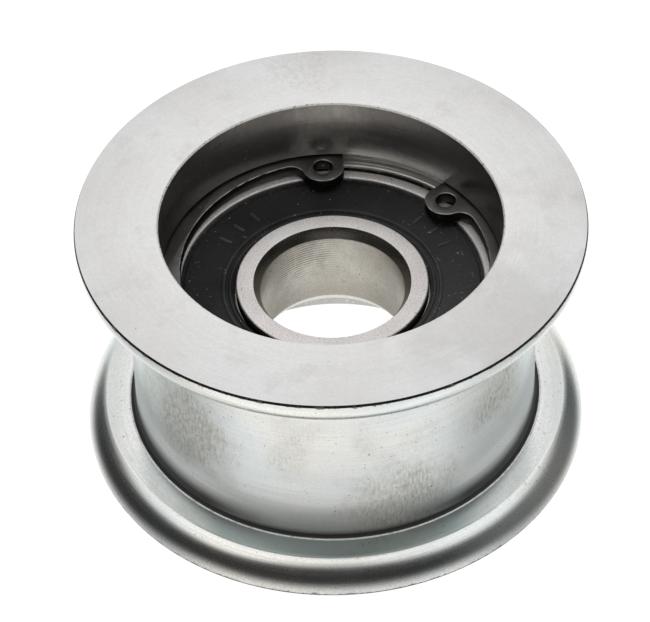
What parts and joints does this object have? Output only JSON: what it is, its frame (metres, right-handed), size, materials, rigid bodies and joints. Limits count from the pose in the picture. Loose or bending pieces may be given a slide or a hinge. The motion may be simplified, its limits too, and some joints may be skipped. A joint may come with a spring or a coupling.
{
  "type": "flanged guide pulley",
  "caption": "Turned steel guide pulley with a smooth drum between two rounded flanges, on a sealed ball bearing held in its bore by a retaining ring.",
  "frame": {"origin": "centre of the pulley, on the spin axis, halfway between the flanges' outer faces", "axes": "+Z along the spin axis towards the side with the retaining ring; the ring's gap points 66.3 degrees from +X towards +Y"},
  "size_m": [0.07, 0.07, 0.0376],
  "materials": {
    "zinc_plated_steel": "turned, bright zinc plated",
    "blackened_spring_steel": "phosphated and oiled",
    "bearing_steel": "ground",
    "polished_steel": "polished",
    "sheet_steel": "pressed sheet",
    "nitrile_rubber": "moulded, matt"
  },
  "bodies": {
    "held_ring": {"inner_ring": "bearing_steel"},
    "roller": {"roller_body": "zinc_plated_steel", "retaining_ring": "blackened_spring_steel", "outer_ring": "bearing_steel", "seal_rubber_upper": "nitrile_rubber", "seal_rubber_lower": "nitrile_rubber", "seal_insert_upper": "sheet_steel", "seal_insert_lower": "sheet_steel"},
    "cage": {"cage_upper": "sheet_steel", "cage_lower": "sheet_steel", "cage_rivet_1": "sheet_steel", "cage_rivet_2": "sheet_steel", "cage_rivet_3": "sheet_steel", "cage_rivet_4": "sheet_steel", "cage_rivet_5": "sheet_steel", "cage_rivet_6": "sheet_steel", "cage_rivet_7": "sheet_steel", "cage_rivet_8": "sheet_steel"},
    "rolling_ball_1": {"ball_1": "polished_steel"},
    "rolling_ball_2": {"ball_2": "polished_steel"},
    "rolling_ball_3": {"ball_3": "polished_steel"},
    "rolling_ball_4": {"ball_4": "polished_steel"},
    "rolling_ball_5": {"ball_5": "polished_steel"},
    "rolling_ball_6": {"ball_6": "polished_steel"},
    "rolling_ball_7": {"ball_7": "polished_steel"},
    "rolling_ball_8": {"ball_8": "polished_steel"}
  },
  "joints": [
    {"name": "roller_spin", "type": "hinge", "parent": "held_ring", "child": "roller", "pos_m": [0, 0, 0], "axis": [0, 0, 1], "continuous": true},
    {"name": "cage_spin", "type": "hinge", "parent": "held_ring", "child": "cage", "pos_m": [0, 0, 0], "axis": [0, 0, 1], "continuous": true},
    {"name": "ball_1_roll", "type": "hinge", "parent": "cage", "child": "rolling_ball_1", "pos_m": [0.01675, 0, 0], "axis": [0, 0, 1], "continuous": true},
    {"name": "ball_2_roll", "type": "hinge", "parent": "cage", "child": "rolling_ball_2", "pos_m": [0.01184, 0.01184, 0], "axis": [0, 0, 1], "continuous": true},
    {"name": "ball_3_roll", "type": "hinge", "parent": "cage", "child": "rolling_ball_3", "pos_m": [0, 0.01675, 0], "axis": [0, 0, 1], "continuous": true},
    {"name": "ball_4_roll", "type": "hinge", "parent": "cage", "child": "rolling_ball_4", "pos_m": [-0.01184, 0.01184, 0], "axis": [0, 0, 1], "continuous": true},
    {"name": "ball_5_roll", "type": "hinge", "parent": "cage", "child": "rolling_ball_5", "pos_m": [-0.01675, 0, 0], "axis": [0, 0, 1], "continuous": true},
    {"name": "ball_6_roll", "type": "hinge", "parent": "cage", "child": "rolling_ball_6", "pos_m": [-0.01184, -0.01184, 0], "axis": [0, 0, 1], "continuous": true},
    {"name": "ball_7_roll", "type": "hinge", "parent": "cage", "child": "rolling_ball_7", "pos_m": [0, -0.01675, 0], "axis": [0, 0, 1], "continuous": true},
    {"name": "ball_8_roll", "type": "hinge", "parent": "cage", "child": "rolling_ball_8", "pos_m": [0.01184, -0.01184, 0], "axis": [0, 0, 1], "continuous": true}
  ],
  "couplings": [
    {"joint": "cage_spin", "follows": "roller_spin", "ratio": 0.61848},
    {"joint": "ball_1_roll", "follows": "roller_spin", "ratio": 1.9916},
    {"joint": "ball_2_roll", "follows": "roller_spin", "ratio": 1.9916},
    {"joint": "ball_3_roll", "follows": "roller_spin", "ratio": 1.9916},
    {"joint": "ball_4_roll", "follows": "roller_spin", "ratio": 1.9916},
    {"joint": "ball_5_roll", "follows": "roller_spin", "ratio": 1.9916},
    {"joint": "ball_6_roll", "follows": "roller_spin", "ratio": 1.9916},
    {"joint": "ball_7_roll", "follows": "roller_spin", "ratio": 1.9916},
    {"joint": "ball_8_roll", "follows": "roller_spin", "ratio": 1.9916}
  ]
}
